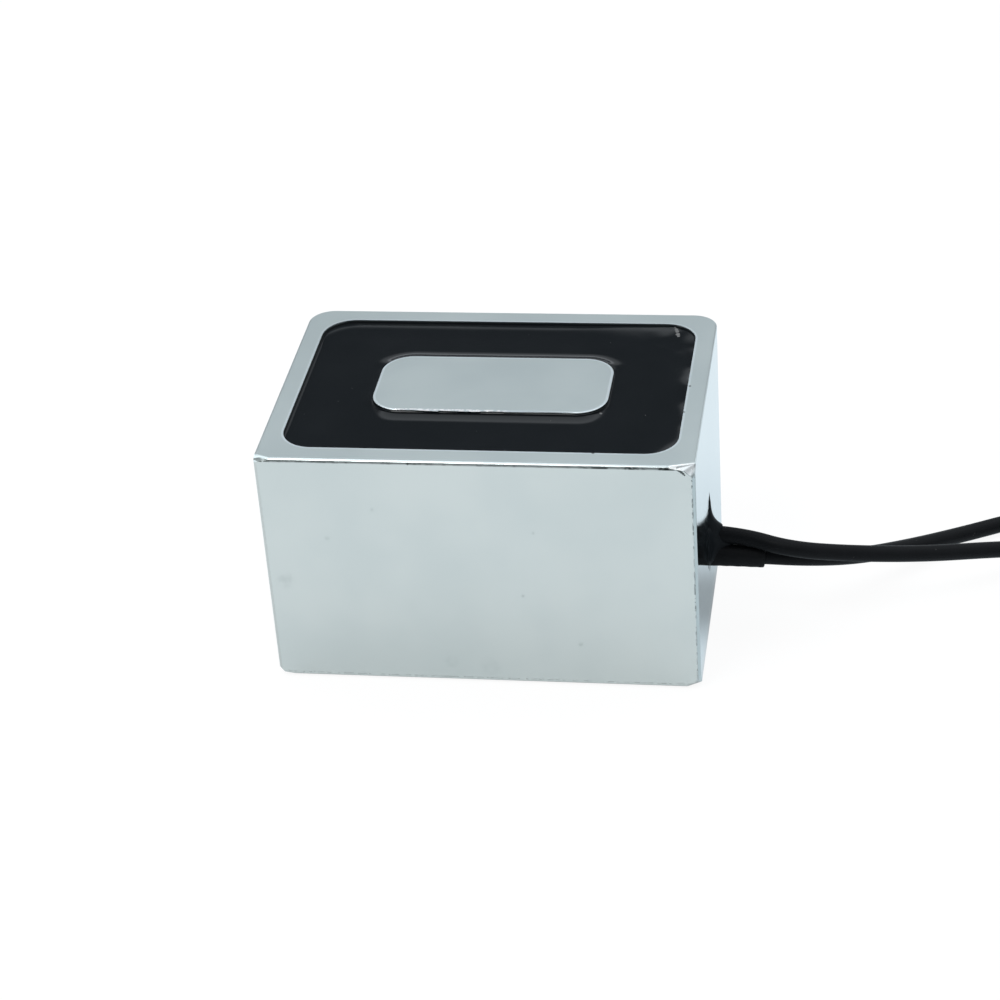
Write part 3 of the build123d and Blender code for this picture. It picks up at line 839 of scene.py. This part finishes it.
def roughen_front(pole):
    """Ragged burr along the pole's front edge, most on its left half."""
    front = MIDDLE_Y - POLE.y / 2

    def on_edge(vertex):
        return vertex.co.y < front + 0.15 * MM and vertex.co.z > HEIGHT - 0.01 * MM

    pick(pole, "edges", lambda e: all(on_edge(v) for v in e.verts))
    bpy.ops.mesh.subdivide(number_cuts=150)
    leave_edit()
    for vertex in pole.data.vertices:
        if on_edge(vertex):
            x = vertex.co.x / MM
            coarse = noise.noise(Vector((x * 1.7, 3.1, 0)))
            rag = coarse + 0.6 * noise.noise(Vector((x * 4.1, 8, 0)))
            most = 0.3 * ramp(x, -11.6, -10.6) * (1 - ramp(x, 1, 4)) + 0.05
            vertex.co.y -= most * min(1.0, max(0.0, rag * 1.5 + 0.2)) * MM


def make_hole_cutter():
    """Solid of the lead hole, with its chamfered mouth."""
    face = WIDTH / 2
    chamfer_depth = 0.3 * MM
    chamfer_width = 0.6 * MM
    hole = add_cylinder(
        "hole", HOLE_RADIUS, 5 * MM, (face - 2.5 * MM, HOLE_Y, HOLE_Z), 72, (0, pi / 2, 0)
    )
    for widens in (True, False):
        pick(hole, "faces", lambda f: f.normal.x > 0.9)
        bpy.ops.mesh.extrude_region_move(TRANSFORM_OT_translate={"value": (chamfer_depth, 0, 0)})
        if widens:
            leave_edit()
            pick(hole, "faces", lambda f: f.normal.x > 0.9)
            scale = 1 + chamfer_width / HOLE_RADIUS
            centre = (face, HOLE_Y, HOLE_Z)
            bpy.ops.transform.resize(value=(1, scale, scale), center_override=centre)
        leave_edit()
    pick(hole, "verts", lambda v: v.co.x > face - 2.6 * MM)
    bpy.ops.transform.translate(value=(-chamfer_depth, 0, 0))
    leave_edit()
    return hole


def make_thread_cutter(side):
    """Solid of one tapped hole: countersunk mouth, thread and drill point."""
    sides = 48
    rows = 110
    middle_of_tap = (side * SCREW_X, 0, TAP_DEPTH / 2)
    cutter = add_cylinder("tap", TAP_RADIUS, TAP_DEPTH, middle_of_tap, sides)
    pick(cutter, "edges", is_upright)
    bpy.ops.mesh.subdivide(number_cuts=rows - 1)
    leave_edit()
    for vertex in cutter.data.vertices:
        x, y, z = vertex.co.x - side * SCREW_X, vertex.co.y, vertex.co.z
        turn = atan2(y, x) / tau
        phase = (z / THREAD_PITCH - turn) % 1.0
        crest = min(1.0, max(0.0, 1.25 - 2.5 * abs(phase - 0.5)))
        fade = min(1.0, max(0.0, (THREAD_END - z) / (0.6 * MM)))
        radius = TAP_RADIUS + (THREAD_RADIUS - TAP_RADIUS) * crest * fade
        radius = max(radius, TAP_MOUTH_RADIUS - z)
        vertex.co.x = side * SCREW_X + radius * cos(turn * tau)
        vertex.co.y = radius * sin(turn * tau)
    pick(cutter, "faces", lambda f: f.normal.z > 0.9 and f.calc_center_median().z > 10 * MM)
    bpy.ops.mesh.extrude_region_move(TRANSFORM_OT_translate={"value": (0, 0, TAP_POINT)})
    bpy.ops.mesh.merge(type="CENTER")
    leave_edit()
    pick(cutter, "faces", lambda f: f.normal.z < -0.9 and f.calc_center_median().z < 0.1 * MM)
    bpy.ops.mesh.extrude_region_move(TRANSFORM_OT_translate={"value": (0, 0, -0.3 * MM)})
    leave_edit()
    return cutter


def make_yoke():
    """Plated one-piece yoke with pole, slot, lead hole and tapped holes."""
    yoke = make_blank()
    cut(yoke, make_slot_cutter())
    cut(yoke, make_pole(), "UNION")
    cut(yoke, make_hole_cutter())
    for side in (-1, 1):
        cut(yoke, make_thread_cutter(side))
    smooth(yoke, 32)
    return dress(yoke, "plated_steel", "housing")


# The resin

def inside_block(x, y, size, radius):
    """Distance from the outline of a rounded rectangle, less than 0 inside it."""
    dx = abs(x) - size.x / 2 + radius
    dy = abs(y - MIDDLE_Y) - size.y / 2 + radius
    return hypot(max(dx, 0), max(dy, 0)) + min(max(dx, dy), 0) - radius


def outline_of(name, size, radius, z):
    """Rounded outline as a ring of edges, with even runs along its sides."""
    clear_selection()
    bpy.ops.mesh.primitive_plane_add(size=1, location=(0, MIDDLE_Y, z))
    ring = bpy.context.object
    ring.scale = (size.x, size.y, 1)
    settle(ring, name)
    pick(ring, "verts", lambda v: True)
    bevel_picked(radius, 14, "VERTICES")
    pick(ring, "faces", lambda f: True)
    bpy.ops.mesh.delete(type="ONLY_FACE")
    leave_edit()
    for axis, cuts in (("y", 79), ("x", 39)):
        pick(ring, "edges", lambda e: abs(getattr(e.verts[0].co - e.verts[1].co, axis)) < 1e-7)
        bpy.ops.mesh.subdivide(number_cuts=cuts)
        leave_edit()
    return ring


def resin_height(x, y):
    """Height of the resin's skin, drawn up most at the back and right walls and round the pole."""
    to_wall = max(0.0, -inside_block(x, y, SLOT, SLOT_RADIUS)) / MM
    to_pole = max(0.0, inside_block(x, y, POLE, POLE_RADIUS)) / MM
    place = Vector((x, y, 0)) / MM
    at_back = ramp(place.y, 9, 14)
    at_right = ramp(place.x, 17, 22)
    drawn_front = 0.04 + 0.11 * ramp(-place.y, 8, 13)
    drawn_back = (0.46 + 0.25 * ramp(place.x, 8, 16)) * at_back
    drawn_right = 0.75 * at_right * (0.7 + 0.8 * noise.noise(place * 0.25))
    drawn = max(drawn_front, drawn_back, drawn_right)
    reach = 0.9 + 0.9 * at_back * ramp(place.x, 6, 16)
    wall = 0.5 * drawn * exp(-to_wall / reach)

    # Round the pole: wide and soft behind it, almost flat at its ends
    beside = ramp(abs(place.x), 11.5, 14) * (1 - 0.8 * ramp(place.y, 4.5, 6.5))
    behind = ramp(place.y, 4.5, 6.3)
    slope = 0.4 - 0.2 * behind
    soft = 0.28 - 0.14 * behind
    skirt = slope * soft_rise(1.0 + 0.95 * behind - to_pole, soft)
    skirt += behind * 0.3 * soft_rise(1.05 - to_pole, 0.08)
    pole = (skirt + 0.1 * exp(-to_pole / 0.12)) * (1 - 0.75 * beside)

    # Slow ripples, more of them in the back right corner, and the tongue that runs out of it
    ripple = 0.01 * noise.noise(place * 0.2 + Vector((1, 2, 5)))
    corner = ramp(place.x, 12, 19) * ramp(place.y, 5, 11)
    ripple += 0.05 * corner * noise.noise(place * 0.42 + Vector((4, 1, 0)))
    past = place.x - TONGUE_X
    tongue = place.y - TONGUE_Y + 0.55 * past + 0.12 * past ** 2
    ripple += 0.035 * ramp(place.x, 17, 19) * exp(-(tongue / 0.55) ** 2)
    return RESIN_TOP + min(wall + pole + ripple, 0.55) * MM


def place_key(point):
    """A place as whole numbers, to find the same point again."""
    return tuple(round(c * 1e7) for c in point)


def make_resin_skin():
    """Top layer of the potting, drawn out ring by ring from the pole to the wall."""
    overlap = Vector((0.04, 0.04)) * MM
    skin = outline_of("resin_skin", POLE - overlap, POLE_RADIUS, RESIN_TOP)
    wall = outline_of("wall_ring", SLOT + overlap, SLOT_RADIUS, RESIN_TOP)
    starts = [vertex.co.copy() for vertex in skin.data.vertices]
    ends = [vertex.co.copy() for vertex in wall.data.vertices]
    bpy.data.objects.remove(wall)
    shares = [0.011, 0.023, 0.037, 0.053, 0.072, 0.095, 0.125, 0.16]
    shares += [0.2 + 0.6 * k / 16 for k in range(17)]
    shares += [1 - share for share in reversed(shares[:8])] + [1.0]
    pick(skin, "edges", lambda e: True)
    where = {place_key(point): k for k, point in enumerate(starts)}
    for share in shares:
        bpy.ops.mesh.extrude_edges_move()
        shape = bmesh.from_edit_mesh(skin.data)
        moved = {}
        for vertex in shape.verts:
            if vertex.select:
                k = where[place_key(vertex.co)]
                vertex.co = starts[k].lerp(ends[k], share)
                moved[place_key(vertex.co)] = k
        where = moved
        bmesh.update_edit_mesh(skin.data)
    bpy.ops.mesh.select_all(action="SELECT")
    bpy.ops.mesh.extrude_region_move(TRANSFORM_OT_translate={"value": (0, 0, -0.4 * MM)})
    leave_edit()
    for vertex in skin.data.vertices:
        if vertex.co.z > RESIN_TOP - 0.1 * MM:
            vertex.co.z = resin_height(vertex.co.x, vertex.co.y)
    pick(skin, "faces", lambda f: True)
    bpy.ops.mesh.normals_make_consistent(inside=False)
    leave_edit()
    smooth(skin, 60, weighted=False)
    return dress(skin, "potting_resin")


def smear_height(y, z):
    """How far the resin stands off the side face at a point of it, in millimetres."""
    _, a_y, a_z = LEAD_A_ROUTE[0]
    _, b_y, b_z = LEAD_B_ROUTE[0]
    over_hole = z - HOLE_Z / MM
    to_a = max(hypot(y - a_y, z - a_z) - LEAD_RADIUS / MM, 0.0)
    to_b = max(hypot(y - b_y, z - b_z) - SLEEVE_OUTSIDE, 0.0)
    edge = 3.0 + 0.3 * noise.noise(Vector((y * 0.9, z * 0.9, 3.3)))
    away = hypot(y - HOLE_Y / MM, over_hole * (1.0 if over_hole > 0 else 1.24))
    height = -0.2
    if away < edge:
        skirt = 1 - (away / edge) ** 4
        web = exp(-to_a / 0.5) * exp(-to_b / 0.5)
        height = (0.3 + 0.9 * exp(-to_a / 0.4) + 0.5 * exp(-to_b / 0.3) + 2.5 * web) * skirt
    rise = (z - SPIKE_FOOT) / SPIKE_HEIGHT
    if 0 < rise < 1:
        width = 1.4 * (1 - rise) ** 1.6 + 0.09
        across = (y - a_y - 0.1 * rise) / width
        if abs(across) < 1:
            crest = min(1.5, 0.1 + 2.7 * exp((SPIKE_FOOT - z) / 0.9))
            crest *= min(1.0, (1 - rise) * 4)
            height = max(height, crest * (1 - across * across) ** 0.8)
    return max(height, -0.1)


def make_smear():
    """Resin squeezed out of the lead hole, drawn up into a spike above the leads."""
    clear_selection()
    bpy.ops.mesh.primitive_grid_add(
        x_subdivisions=140, y_subdivisions=180, size=1,
        location=(WIDTH / 2, HOLE_Y, 11.1 * MM), rotation=(0, pi / 2, 0),
    )
    smear = bpy.context.object
    smear.scale = (10.8 * MM, 8.0 * MM, 1)
    settle(smear, "resin_smear")
    for vertex in smear.data.vertices:
        height = smear_height(vertex.co.y / MM, vertex.co.z / MM)
        vertex.co.x = (WIDTH / 2 / MM + height) * MM
    pick(smear, "faces", lambda f: all(v.co.x < WIDTH / 2 - 0.01 * MM for v in f.verts))
    bpy.ops.mesh.delete(type="FACE")
    leave_edit()
    pick(smear, "faces", lambda f: True)
    bpy.ops.mesh.extrude_region_move(TRANSFORM_OT_translate={"value": (-0.2 * MM, 0, 0)})
    leave_edit()
    pick(smear, "faces", lambda f: True)
    bpy.ops.mesh.normals_make_consistent(inside=False)
    leave_edit()
    smooth(smear, 60, weighted=False)
    return dress(smear, "smeared_resin", "exit_sealant")


# The tie

def make_tie():
    """Cable tie round the coil: a flat strap, a head with its slot, and the cut tail."""
    centre = COIL_CENTRE + Vector((12, 0, 2.45)) * MM
    strap = add_box("coil_strap", (5.0 * MM, 2.6 * MM, 4.9 * MM), centre)
    pick(strap, "edges", runs_along_y)
    bevel_picked(0.9 * MM, 6)
    window = add_box("window", (4.2 * MM, 4 * MM, 4.1 * MM), centre)
    pick(window, "edges", runs_along_y)
    bevel_picked(0.5 * MM, 6)
    cut(strap, window)
    head_centre = COIL_CENTRE + Vector((15.6, 0, 2.45)) * MM
    head = add_box("head", (2.3 * MM, 3.5 * MM, 3.3 * MM), head_centre)
    pick(head, "edges", lambda e: True)
    bevel_picked(0.35 * MM, 3)
    passage = add_box(
        "passage", (0.55 * MM, 2.7 * MM, 5 * MM), head_centre + Vector((0.25, 0, 0)) * MM
    )
    cut(head, passage)
    cut(strap, head, "UNION")
    tail = add_box(
        "tail", (0.42 * MM, 2.3 * MM, 3.7 * MM), head_centre + Vector((0.25, 0, 0.15)) * MM
    )
    cut(strap, tail, "UNION")
    smooth(strap, 35)
    return dress(strap, "tie_nylon", "coil_tie")


def dress_hidden_nodes():
    """Give every CAD node its finish, also those buried in the resin."""
    slots = {s["node"]: s["material_slot"] for s in frame["record"]["subparts"]}
    for name, node in frame["nodes"].items():
        node.data.materials.clear()
        node.data.materials.append(FINISHES[slots[name]])


# The studio

def make_camera():
    """Camera at the photo's place: a long lens, above and a little to the right."""
    azimuth, elevation, roll = radians(10.43), radians(32.17), radians(-4.26)
    back = Vector((sin(azimuth) * cos(elevation), -cos(azimuth) * cos(elevation), sin(elevation)))
    right = Vector((0, 0, 1)).cross(back).normalized()
    up = back.cross(right)
    turned = right * cos(roll) + up * sin(roll)
    up = up * cos(roll) - right * sin(roll)
    lens = bpy.data.cameras.new("camera")
    lens.lens = 98.147
    lens.sensor_width = 36
    lens.clip_start = 0.01
    camera = bpy.data.objects.new("camera", lens)
    bpy.context.scene.collection.objects.link(camera)
    place = Matrix((turned, up, back)).transposed().to_4x4()
    place.translation = Vector((49.86, -272.08, 188.04)) * MM
    camera.matrix_world = place
    bpy.context.scene.camera = camera


def make_floor():
    """White sheet, plain white to the camera and dimmer where the steel mirrors it, with a painted
    shadow of the leads and a painted blue shade beside the right face, seen only in reflections.
    """
    clear_selection()
    bpy.ops.mesh.primitive_plane_add(size=1.2, location=(0, 0, -0.0002))
    ground = settle(bpy.context.object, "ground")
    paper = Finish("white_paper", Roughness=0.9, Specular_IOR_Level=0.1)
    paper.shader.inputs["Base Color"].default_value = (0.93, 0.93, 0.93, 1)
    path = paper.tree.nodes.new("ShaderNodeLightPath")
    camera = Value(paper.tree, path.outputs["Is Camera Ray"])
    glossy = Value(paper.tree, path.outputs["Is Glossy Ray"])
    # Painted blue shade beside the right face, seen only in reflections.
    beside = paper.x.above(24.5 * MM, 1 * MM)
    # Painted shadow of the leads on the floor, seen only in reflections.
    painted_lead_shadow = spot(paper, (26, 1, 0), 2, 10)
    painted_shade_tint = paper.mix(beside * glossy, (1, 1, 1), (0.83, 0.97, 1.06))
    # The glow is dimmer in reflections where the shadow of the leads and the blue shade are
    # painted.
    strength = 1.02 - glossy * (painted_lead_shadow * 0.6 + beside * 0.08)
    glow = paper.place.node("ShaderNodeEmission", {"Color": painted_shade_tint, "Strength": strength})
    # More bluish glow beside the right face in reflections: painted light and shade in place of the
    # real shading there.
    share = camera * 0.9 + glossy * (0.3 + beside * 0.4)
    both = paper.place.node("ShaderNodeMixShader", {0: share})
    mixer = both.socket.node
    paper.tree.links.new(paper.shader.outputs[0], mixer.inputs[1])
    paper.tree.links.new(glow.socket, mixer.inputs[2])
    paper.tree.links.new(both.socket, paper.tree.nodes["Material Output"].inputs["Surface"])
    ground.data.materials.append(paper.material)


def add_softbox(name, centre, aim, size, power, colour):
    """Soft light that faces a point."""
    lamp = bpy.data.lights.new(name, "AREA")
    lamp.shape = "RECTANGLE"
    lamp.size, lamp.size_y = size
    lamp.energy = power
    lamp.color = colour
    box = bpy.data.objects.new(name, lamp)
    bpy.context.scene.collection.objects.link(box)
    box.location = centre
    box.rotation_euler = (Vector(aim) - Vector(centre)).to_track_quat("-Z", "Y").to_euler()


def make_world():
    """Studio that is white behind the object, bright from above the back, and dark round a band."""
    world = bpy.data.worlds.new("studio")
    bpy.context.scene.world = world
    world.use_nodes = True
    tree = world.node_tree
    background = tree.nodes["Background"]
    split = tree.nodes.new("ShaderNodeSeparateXYZ")
    tree.links.new(tree.nodes.new("ShaderNodeTexCoord").outputs["Generated"], split.inputs[0])
    x, y, z = [Value(tree, out) for out in split.outputs]
    back = y.above(-0.1, 0.5)
    overhead = (z + back * 0.22).above(0.82, 0.14)
    across = x / y.larger(0.05)
    card = (across + 0.19).absolute().below(0.42, 0.2) * y.above(0.2, 0.2)
    panel = across.above(0.08, 0.2) * y.above(0.2, 0.2)
    horizon = 0.2 + y.above(-0.45, 0.7) * 0.35 + y.above(0, 0.3) * z.below(0.25, 0.08) * 0.45
    band = z.above(0.36, 0.08)
    beside = 0.28 + panel * 0.4 - card * 0.2
    low = horizon * (1 - band) + beside * band
    right_card = x.above(0.3, 0.35) * z.above(0.05, 0.15) * 0.9
    zenith = z.above(0.95, 0.035)
    bright = overhead * (1.36 + back * 0.55 - zenith * 0.85)
    room = (bright + (1 - overhead) * low).larger(right_card)
    ray = Value(tree, tree.nodes.new("ShaderNodeLightPath").outputs["Is Camera Ray"])
    tree.links.new((ray + (1 - ray) * room).socket, background.inputs["Strength"])
    colour = x.node(
        "ShaderNodeMix",
        {0: ray, 6: (0.905, 0.955, 1.0, 1), 7: (1, 1, 1, 1)},
        output=2,
        data_type="RGBA",
    )
    tree.links.new(colour.socket, background.inputs["Color"])


def make_studio():
    bpy.context.scene.view_settings.view_transform = "Standard"
    make_camera()
    make_floor()
    make_world()
    add_softbox(
        "softbox_front", centre=(-0.28, -0.3, 0.75), aim=(0, 0, 0.02), size=(0.4, 0.4),
        power=3.2, colour=(1.0, 0.99, 0.97),
    )


make_studio()
lead_a, lead_b, sleeve, tip_a, tip_b = make_leads()
make_yoke()
make_resin_skin()
smear = make_smear()
tie = make_tie()
dress_hidden_nodes()
